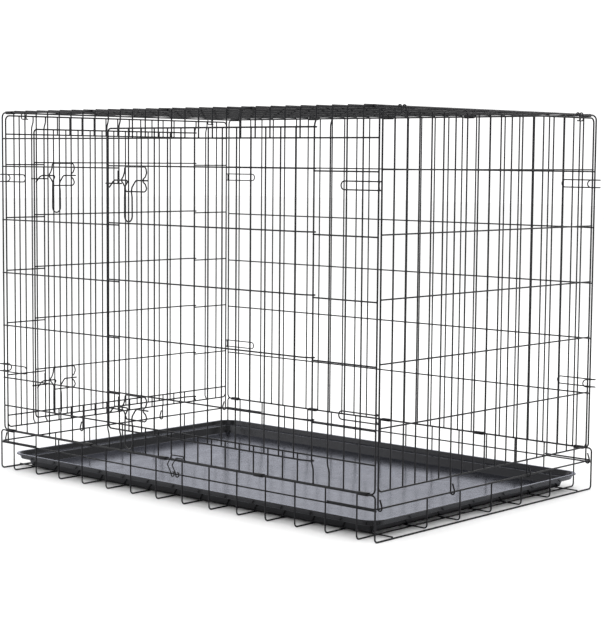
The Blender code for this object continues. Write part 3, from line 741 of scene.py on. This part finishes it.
@dataclass
class SlideBolt:
    """A slide bolt: the bolt with its hanging handle, the loop that guides it and the keeper."""

    doorway: Doorway
    row: int
    bolt_out: float = 0.0106
    handle_out: float = 0.0168
    handle_drop: float = 0.0835
    loop_out: float = 0.0129
    hump: float = 0.0018

    @property
    def level(self) -> float:
        """Height of the bolt's centre line."""
        return self.doorway.bolt_height(self.row)

    def bolt(self, name: str) -> Piece:
        """Draw the bolt and its handle, one bent wire.

        Args:
            name: the piece's name.

        Returns:
            The finished piece.
        """
        free, level, out, far = self.doorway.free, self.level, self.bolt_out, self.handle_out
        end = level - self.handle_drop
        cup = [(x, far, z) for x, z in arc((free + 0.0714, end + 0.0113), 0.0113, 180, 360, 12)]
        run = [(free + 0.0070, out, level - 0.0150), (free + 0.0130, out, level - 0.0085),
               (free + 0.0185, out, level - 0.0025), (free + 0.0245, out, level),
               (free + 0.0590, out, level), (free + 0.0620, out + 0.0005, level - 0.0030),
               (free + 0.0605, far, level - 0.0140), (free + 0.0600, far, level - 0.0320), *cup,
               (free + 0.0824, far, level - 0.0340), (free + 0.0803, far, level - 0.0220),
               (free + 0.0820, far, level - 0.0140), (free + 0.0850, out + 0.0005, level - 0.0030),
               (free + 0.0880, out, level), (free + 0.1227, out, level)]
        wire = WireStock(LATCH_WIRE.radius, 12, bend=0.0012, bend_steps=2)
        return join(name, [wire.draw("bolt", [self.doorway.side.run(run)])])

    def loop(self, name: str) -> Piece:
        """Draw the closed loop with its two pinches.

        Args:
            name: the piece's name.

        Returns:
            The finished piece.
        """
        free, level, out = self.doorway.free, self.level, self.loop_out
        top, foot, pinch = level + 0.0274, level - 0.0225, out + self.hump
        run = [(free + 0.1158, out, top), (free + 0.1195, out, top - 0.0040),
               (free + 0.1210, out, level + 0.0155), (free + 0.1175, out, level + 0.0075),
               (free + 0.1130, pinch, level + 0.0030), (free + 0.1130, pinch, level - 0.0030),
               (free + 0.1175, out, level - 0.0075), (free + 0.1210, out, level - 0.0155),
               (free + 0.1190, out, foot + 0.0025), (free + 0.1150, out, foot),
               (free + 0.0600, out, foot), (free + 0.0570, out, level - 0.0150),
               (free + 0.0520, out, level - 0.0070), (free + 0.0492, pinch, level - 0.0030),
               (free + 0.0492, pinch, level + 0.0030), (free + 0.0515, out, level + 0.0075),
               (free + 0.0555, out, level + 0.0170), (free + 0.0560, out, top - 0.0030),
               (free + 0.0590, out, top)]
        wire = WireStock(LOOP_WIRE.radius, 12, bend=0.0012, bend_steps=2)
        return join(name, [wire.draw("loop", [self.doorway.side.run(run)], closed=True)])

    def keeper(self, name: str) -> Piece:
        """Draw the short wires on the panel that the tip laps over.

        Args:
            name: the piece's name.

        Returns:
            The finished piece.
        """
        door, low = self.doorway, self.level - 0.0070
        out = 0.0037
        stub = door.edge + 0.0015
        lap = [(door.edge - door.pitch + 0.002, out, low), (door.edge + 0.012, out, low)]
        post = [(stub, out, low), (stub, out, self.level + 0.0195)]
        return join(name, [INFILL.draw("lap", [door.side.run(lap), door.side.run(post)])])


@dataclass
class CornerHook:
    """A bent wire loop that holds an end panel's edge rod."""

    side: Side
    far_end: bool
    up: float
    reach: float = 0.084
    tail: float = 0.027
    apex: float = 0.0113
    half: float = 0.0078
    out: float = 0.0050
    angle: float = math.radians(40)

    def bend(self, run: float, lift: float) -> Point:
        """Return a point of the loop before and after its fold at the corner.

        Args:
            run: distance from the fold, positive along the long side.
            lift: height above the hook's middle.

        Returns:
            The point in the side's own axes.
        """
        sign = 1.0 if self.far_end else -1.0
        apex = (LENGTH if self.far_end else 0.0) + sign * self.apex
        if run >= 0.0:
            return (apex - sign * run, self.out, self.up + lift)
        return (apex + sign * run * math.cos(self.angle), self.out + run * math.sin(self.angle),
                self.up + lift)

    def build(self, name: str) -> Piece:
        """Build the hook.

        Args:
            name: the piece's name.

        Returns:
            The finished piece.
        """
        nose = arc((self.reach + self.apex - self.half, 0.0), self.half, 90, -90, 10)
        tail = arc((-self.tail + self.half, 0.0), self.half, 270, 90, 10)
        fold = [(run, -self.half) for run in (0.0035, 0.0010, -0.0010, -0.0035)]
        back = [(run, -lift) for run, lift in reversed(fold)]
        outline = nose + fold + tail + back
        loop = [self.side.place(*self.bend(run, lift)) for run, lift in outline]
        return join(name, [HOOK_WIRE.draw("loop", [loop], closed=True)])


@dataclass
class TopHook:
    """A double wire hook: two curls on the roof's end rod, joined by a loop that hangs down."""

    side: Side
    along: float
    leg_out: float = 0.0047
    drop: float = 0.0125
    wrap: float = 205.0
    half: float = 0.0065
    curl: float = 0.0037

    def build(self, name: str) -> Piece:
        """Build the clip.

        Args:
            name: the piece's name.

        Returns:
            The finished piece.
        """
        tip = RAIL_TOP - self.drop
        leg = [(a, RAIL_TOP - b) for a, b in arc((0.0, 0.0), self.curl, self.wrap, 360, 12)]
        leg += [(self.leg_out, RAIL_TOP - 0.0050), (self.leg_out, tip + 0.0030),
                (self.leg_out - 0.0010, tip + 0.0009), (self.leg_out - 0.0028, tip), (-0.0010, tip)]
        near = [(self.along - self.half, a, b) for a, b in leg]
        far = [(self.along + self.half, a, b) for a, b in reversed(leg)]
        return join(name, [HOOK_WIRE.draw("clip", [self.side.run(near + far)])])


@dataclass
class SideHook:
    """The hook on the long side: two eyes on the base's middle rail, bent legs and a long bar."""

    along: float
    rail_out: float = 0.0015
    eye: float = 0.0045
    elbow: tuple[float, float] = (0.0165, 0.0800)
    leg_gap: float = 0.0135
    bar_out: float = 0.0040
    bar_up: float = 0.0975
    bar_length: float = 0.0335
    bar_gap: float = 0.0050

    def build(self, name: str) -> Piece:
        """Build the hook.

        Args:
            name: the piece's name.

        Returns:
            The finished piece.
        """
        eye_up = MID_RAIL_Z - self.eye + 0.0034
        leg = [(self.rail_out + a, eye_up + b) for a, b in arc((0.0, 0.0), self.eye, -275, 25, 16)]
        leg.append(self.elbow)
        out, high, low = self.bar_out, self.bar_up, self.bar_up - self.bar_gap
        end = self.along + self.bar_length
        near = [(self.along, a, b) for a, b in leg + [(out + 0.0010, high - 0.0010)]]
        bar = [(self.along + 0.0030, out, high), (end - 0.0025, out, high),
               (end - 0.0007, out, high - 0.0007), (end, out, high - 0.0025),
               (end - 0.0007, out, low + 0.0007), (end - 0.0025, out, low),
               (self.along + self.leg_gap + 0.0030, out, low)]
        back = leg + [(out + 0.0015, low - 0.0005)]
        far = [(self.along + self.leg_gap, a, b) for a, b in reversed(back)]
        return join(name, [HOOK_WIRE.draw("hook", [Side.FRONT.run(near + bar + far)])])


@dataclass
class RailClip:
    """A sheet-metal sleeve squeezed round two rods that lie side by side."""

    centre: Point
    spread: float
    length: float = 0.022
    inner: float = 0.0022
    wall: float = 0.0011
    soft_edge: float = 0.0002

    def build(self, name: str) -> Piece:
        """Build the sleeve from a rounded outline drawn out along the rods.

        Args:
            name: the piece's name.

        Returns:
            The finished piece.
        """
        x, y, z = self.centre
        bpy.ops.object.select_all(action="DESELECT")
        bpy.ops.mesh.primitive_plane_add(size=1.0, location=(x - self.length / 2, y, z),
                                         rotation=(0.0, math.pi / 2, 0.0))
        piece = bpy.context.active_object
        piece.scale = (2 * self.inner, self.spread + 2 * self.inner, 1.0)
        bpy.ops.object.transform_apply(location=True, rotation=True, scale=True)
        bpy.ops.object.mode_set(mode="EDIT")
        bpy.ops.mesh.select_all(action="SELECT")
        bpy.ops.mesh.bevel(offset=self.inner * 0.99, segments=5, affect="VERTICES")
        bpy.ops.mesh.delete(type="ONLY_FACE")
        bpy.ops.mesh.select_all(action="SELECT")
        bpy.ops.mesh.extrude_edges_move(TRANSFORM_OT_translate={"value": (self.length, 0.0, 0.0)})
        bpy.ops.mesh.select_all(action="SELECT")
        bpy.ops.mesh.normals_make_consistent(inside=False)
        bpy.ops.object.mode_set(mode="OBJECT")
        shell = piece.modifiers.new("shell", "SOLIDIFY")
        shell.thickness = self.wall
        shell.offset = 1.0
        bpy.ops.object.modifier_apply(modifier=shell.name)
        soft = piece.modifiers.new("soft", "BEVEL")
        soft.width = self.soft_edge
        soft.segments = 2
        bpy.ops.object.modifier_apply(modifier=soft.name)
        bpy.ops.object.shade_smooth_by_angle(angle=math.radians(40))
        return join(name, [piece])


@dataclass
class Basket:
    """The outer basket of floor wires with their ends turned up."""

    wrap: float = 0.115
    floor_wires: int = 7
    weld_sink: float = 0.0002

    def build(self, name: str) -> Piece:
        """Build the basket.

        Args:
            name: the piece's name.

        Returns:
            The finished piece.
        """
        x, y = HALF_LENGTH + BASE_OUT, HALF_WIDTH + BASE_OUT
        rod_z, wire_z = ROD.radius, INFILL.radius
        corners = []
        for sx, sy in ((1, -1), (1, 1), (-1, 1), (-1, -1)):
            pair = [(sx * x, sy * y, BASE_TOP), (sx * x, sy * y, rod_z)]
            corners += pair if sx * sy < 0 else pair[::-1]
        rx, ry = HALF_LENGTH + RAIL_OUT, HALF_WIDTH + RAIL_OUT
        rails = [[(s * (rx - self.wrap), -ry, END_RAIL_Z), (s * rx, -ry, END_RAIL_Z),
                  (s * rx, ry, END_RAIL_Z), (s * (rx - self.wrap), ry, END_RAIL_Z)] for s in (-1, 1)]
        side_y = y - 2 * INFILL.radius
        sides = [[(-x, s * side_y, MID_RAIL_Z), (x, s * side_y, MID_RAIL_Z)] for s in (-1, 1)]
        at = PITCH_X - HALF_LENGTH
        run = [(at, -y, BASE_TOP), (at, -y, wire_z), (at, y, wire_z), (at, y, BASE_TOP)]
        across = BENT_INFILL.draw("across", [run])
        repeat(across, LONG_BAYS // 2, (2 * PITCH_X, 0.0, 0.0))
        step = 2 * y / self.floor_wires
        low = wire_z * 3 - self.weld_sink
        middle = (self.floor_wires - 1) // 2
        first = -step * (middle - 1)
        run = [(-rx, first, END_RAIL_Z), (-rx, first, low), (rx, first, low),
               (rx, first, END_RAIL_Z)]
        along = BENT_INFILL.draw("along", [run])
        repeat(along, self.floor_wires - 2, (0.0, step, 0.0))
        outer = INFILL.draw("outer", [[(-x, s * step * middle, low), (x, s * step * middle, low)]
                                      for s in (-1, 1)])
        counts = (LONG_BAYS // 2, self.floor_wires)
        beads = BEAD.flat_grid((at, -step * middle, 2 * wire_z), counts, (2 * PITCH_X, step))
        parts = [RAIL_ROD.draw("rim", [corners], closed=True), RAIL_ROD.draw("rails", rails),
                 INFILL.draw("sides", sides), across, along, outer, beads]
        return join(name, parts)


@dataclass
class Roof:
    """The top panel, its short wires laid over the border rods."""

    over: float = 0.0029
    lap: float = 0.0020

    def build(self, name: str) -> Piece:
        """Build the roof.

        Args:
            name: the piece's name.

        Returns:
            The finished piece.
        """
        x, y = HALF_LENGTH, HALF_WIDTH - ROOF_INSET
        outline = [(-x, -y, RAIL_TOP), (x, -y, RAIL_TOP), (x, y, RAIL_TOP), (-x, y, RAIL_TOP)]
        step = 2 * y / ROW_BAYS
        at = PITCH_X - x
        high, end = RAIL_TOP + self.over, y + self.lap
        across = INFILL.draw("across", [[(at, -end, high), (at, end, high)]])
        repeat(across, LONG_BAYS - 1, (PITCH_X, 0.0, 0.0))
        along = INFILL.draw("along", [[(-x, step - y, RAIL_TOP), (x, step - y, RAIL_TOP)]])
        repeat(along, ROW_BAYS - 1, (0.0, step, 0.0))
        weld = (at, step - y, RAIL_TOP + self.over / 2)
        beads = BEAD.flat_grid(weld, (LONG_BAYS - 1, ROW_BAYS - 1), (PITCH_X, step))
        return join(name, [BENT_ROD.draw("border", [outline], closed=True), across, along, beads])


@dataclass
class Pan:
    """The moulded floor pan: hanging skirt, rolled rim, stepped wall and flat floor."""

    gap: float = 0.012
    rim_z: float = 0.036
    skirt_z: float = 0.018
    floor_z: float = 0.0090
    wall: float = 0.0024
    corner: float = 0.038
    rim: float = 0.007
    upper_slope: float = 0.004
    ledge_drop: float = 0.010
    ledge: float = 0.017
    lower_slope: float = 0.007
    floor_ring: float = 0.0024
    soft_edge: float = 0.0011

    def build(self, name: str) -> Piece:
        """Build the pan from a rounded plate, inset and lowered ring by ring.

        Args:
            name: the piece's name.

        Returns:
            The finished piece.
        """
        x, y = HALF_LENGTH + BASE_OUT - self.gap, HALF_WIDTH + BASE_OUT - self.gap
        bpy.ops.object.select_all(action="DESELECT")
        bpy.ops.mesh.primitive_plane_add(size=1.0, location=(0.0, 0.0, self.rim_z))
        piece = bpy.context.active_object
        piece.scale = (2 * x, 2 * y, 1.0)
        bpy.ops.object.transform_apply(location=True, rotation=True, scale=True)
        bpy.ops.object.mode_set(mode="EDIT")
        bpy.ops.mesh.select_all(action="SELECT")
        bpy.ops.mesh.bevel(offset=self.corner, segments=8, affect="VERTICES")
        bpy.ops.mesh.select_all(action="SELECT")
        bpy.ops.mesh.inset(thickness=self.rim, depth=0.0)
        bpy.ops.mesh.inset(thickness=self.upper_slope, depth=-self.ledge_drop)
        bpy.ops.mesh.inset(thickness=self.ledge, depth=0.0)
        bpy.ops.mesh.inset(thickness=self.lower_slope,
                           depth=self.floor_z - self.rim_z + self.ledge_drop)
        bpy.ops.mesh.inset(thickness=self.floor_ring, depth=0.0)
        mesh = bmesh.from_edit_mesh(piece.data)
        for edge in mesh.edges:
            edge.select_set(edge.is_boundary)
        mesh.select_flush_mode()
        drop = {"value": (0.0, 0.0, self.skirt_z - self.rim_z)}
        bpy.ops.mesh.extrude_edges_move(TRANSFORM_OT_translate=drop)
        bpy.ops.mesh.select_all(action="SELECT")
        bpy.ops.mesh.normals_make_consistent(inside=False)
        bpy.ops.object.mode_set(mode="OBJECT")
        shell = piece.modifiers.new("shell", "SOLIDIFY")
        shell.thickness = self.wall
        shell.offset = -1.0
        bpy.ops.object.modifier_apply(modifier=shell.name)
        soft = piece.modifiers.new("soft", "BEVEL")
        soft.width = self.soft_edge
        soft.segments = 3
        soft.limit_method = "ANGLE"
        soft.angle_limit = math.radians(25)
        bpy.ops.object.modifier_apply(modifier=soft.name)
        bpy.ops.object.shade_smooth_by_angle(angle=math.radians(30))
        return join(name, [piece])


@dataclass
class Crate:
    """The whole crate, sub-assembly by sub-assembly."""

    shop: Shop

    def shell(self) -> None:
        """Build the basket, the long sides and the roof."""
        hang = self.shop.hang
        hang(Basket().build("basket_wires"), "frame", "black_wire", "base_basket")
        hang(Roof().build("roof_wires"), "frame", "black_wire", "top_panel")
        rear = Panel(Side.REAR, 0.0, LONG_BAYS, PITCH_X, PANEL_FOOT, RAIL_TOP)
        hang(rear.plain("rear_wall_wires", []), "frame", "black_wire", "rear_panel")
        front = DoorPanel(Side.FRONT, 0.0, LONG_BAYS, PITCH_X, PANEL_FOOT, RAIL_TOP,
                          doorway=SIDE_DOORWAY)
        hang(front.with_door("front_wall_wires", []), "frame", "black_wire", "front_panel")

    def ends(self) -> None:
        """Build the two folding ends."""
        hang = self.shop.hang
        sizes = (END_INSET, END_BAYS, PITCH_Y, END_FOOT, END_TOP)
        right = Panel(Side.RIGHT, *sizes).plain("right_wall_wires", [FootHooks(Side.RIGHT).draw()])
        hang(right, "right_end", "black_wire", "right_end_panel")
        left = DoorPanel(Side.LEFT, *sizes, doorway=END_DOORWAY)
        wall = left.with_door("left_wall_wires", [FootHooks(Side.LEFT).draw()])
        hang(wall, "left_end", "black_wire", "left_end_panel")

    def doors(self) -> None:
        """Build the doors with their latches and keepers."""
        hang = self.shop.hang
        ways = ((SIDE_DOORWAY, "side", "frame"), (END_DOORWAY, "end", "left_end"))
        for doorway, word, panel_body in ways:
            door = SwingDoor(doorway).build(f"{word}_door_wires")
            hang(door, f"{word}_door", "black_wire", f"{word}_door")
            for row, level in ((ROW_BAYS - 2, "upper"), (0, "lower")):
                latch = SlideBolt(doorway, row)
                tag = f"{word}_{level}"
                bolt = latch.bolt(f"{tag}_bolt_wire")
                hang(bolt, f"{tag}_bolt", "black_latch", f"{tag}_bolt")
                loop = latch.loop(f"{tag}_guide_loop")
                hang(loop, f"{word}_door", "black_latch", f"{tag}_bracket")
                keeper = latch.keeper(f"{tag}_keeper_wires")
                hang(keeper, panel_body, "black_wire", f"{tag}_keeper")

    def hooks(self) -> None:
        """Build the corner hooks, the top hooks and the side hook."""
        hang = self.shop.hang
        levels = ((RAIL_TOP - UPPER_HOOK_DROP, "upper"), (PANEL_FOOT + LOWER_HOOK_RISE, "lower"))
        for side in (Side.FRONT, Side.REAR):
            for far_end, corner in ((False, "left"), (True, "right")):
                for up, level in levels:
                    tag = f"{side.value}_{corner}_{level}_corner"
                    hook = CornerHook(side, far_end, up).build(f"{tag}_loop")
                    hang(hook, "frame", "black_wire", f"{tag}_hook")
        for side in (Side.LEFT, Side.RIGHT):
            for bay, corner in ((1.5, "front"), (END_BAYS - 1.5, "rear")):
                tag = f"{side.value}_{corner}_top"
                hook = TopHook(side, END_INSET + bay * PITCH_Y).build(f"{tag}_curl")
                hang(hook, f"{tag}_hook", "black_latch", f"{tag}_hook")
        hook = SideHook(14 * PITCH_X + 0.0075).build("side_curl")
        hang(hook, "side_hook", "black_latch", "side_hook")

    def clips(self) -> None:
        """Build the sleeves on the four long rails."""
        rails = (("top", (0, 7, 13, 19, 27), HALF_WIDTH - ROOF_INSET / 2, RAIL_TOP, ROOF_INSET),
                 ("foot", (0, 7, 13, 20, 27), HALF_WIDTH + BASE_OUT / 2,
                  (PANEL_FOOT + BASE_TOP) / 2, BASE_OUT))
        for sign, wall in ((-1, "front"), (1, "rear")):
            for rail, bays, out, up, spread in rails:
                for number, bay in enumerate(bays, 1):
                    share = {0: 0.64, LONG_BAYS - 1: 0.36}.get(bay, 0.5)
                    centre = ((bay + share) * PITCH_X - HALF_LENGTH, sign * out, up)
                    sleeve = RailClip(centre, spread).build(f"{wall}_{rail}_sleeve_{number}")
                    self.shop.hang(sleeve, "frame", "black_clip", f"{wall}_{rail}_clip_{number}")

    def pan(self) -> None:
        """Build the floor pan."""
        self.shop.hang(Pan().build("floor_pan"), "tray", "black_plastic", "floor_tray")


@dataclass
class Studio:
    """Floor, lights and camera."""

    eye: Point = (2.4567, -2.6886, 0.6917)
    yaw: float = 132.013
    pitch: float = 5.491
    roll: float = 0.468
    lens: float = 94.97

    def camera(self) -> None:
        """Set up the camera."""
        bpy.ops.object.camera_add(location=self.eye)
        camera = bpy.context.active_object
        turn = (Matrix.Rotation(math.radians(self.yaw - 90.0), 3, "Z")
                @ Matrix.Rotation(math.radians(90.0 - self.pitch), 3, "X")
                @ Matrix.Rotation(math.radians(self.roll), 3, "Z"))
        camera.rotation_euler = turn.to_euler()
        camera.data.lens = self.lens
        camera.data.clip_end = 60.0
        bpy.context.scene.camera = camera

    def floor(self) -> None:
        """Lay the pale floor."""
        bpy.ops.mesh.primitive_plane_add(size=40.0, location=(0.0, 0.0, 0.0))
        floor = bpy.context.active_object
        floor.name = "studio_floor"
        paint = Finish("floor_paint", colour=(0.86, 0.86, 0.86), drift=(0.89, 0.89, 0.89),
                       gloss=(0.75, 0.85), grain=3.0, relief=0.0)
        floor.data.materials.append(paint.material())

    def lamp(self, name: str, place: Point, size: float, power: float) -> None:
        """Hang a square soft light that faces the crate.

        Args:
            name: its name.
            place: where it hangs.
            size: its edge length.
            power: its power in watts.
        """
        bpy.ops.object.light_add(type="AREA", location=place)
        lamp = bpy.context.active_object
        lamp.name = name
        lamp.data.size = size
        lamp.data.energy = power
        aim = Vector((0.0, 0.0, 0.4)) - Vector(place)
        lamp.rotation_euler = aim.to_track_quat("-Z", "Y").to_euler()

    def light(self) -> None:
        """Set the soft lights and the white surroundings."""
        self.lamp("key", (2.2, -3.4, 3.4), 2.4, 60.0)
        self.lamp("fill", (-3.6, -1.6, 2.2), 2.4, 30.0)
        self.lamp("back", (-0.5, 3.4, 3.2), 2.4, 40.0)
        world = bpy.data.worlds.new("studio")
        world.use_nodes = True
        backdrop = world.node_tree.nodes["Background"]
        backdrop.inputs["Color"].default_value = (1.0, 1.0, 1.0, 1.0)
        backdrop.inputs["Strength"].default_value = 1.2
        bpy.context.scene.world = world
        bpy.context.scene.view_settings.view_transform = "Standard"

    def build(self) -> None:
        """Set up everything."""
        self.camera()
        self.floor()
        self.light()


def main() -> None:
    """Build the crate and the studio."""
    logging.basicConfig(level=logging.INFO, format="%(name)s: %(message)s")
    shop = Shop()
    shop.stock()
    crate = Crate(shop)
    crate.shell()
    crate.ends()
    crate.doors()
    crate.hooks()
    crate.clips()
    crate.pan()
    Studio().build()


if __name__ == "__main__":
    main()
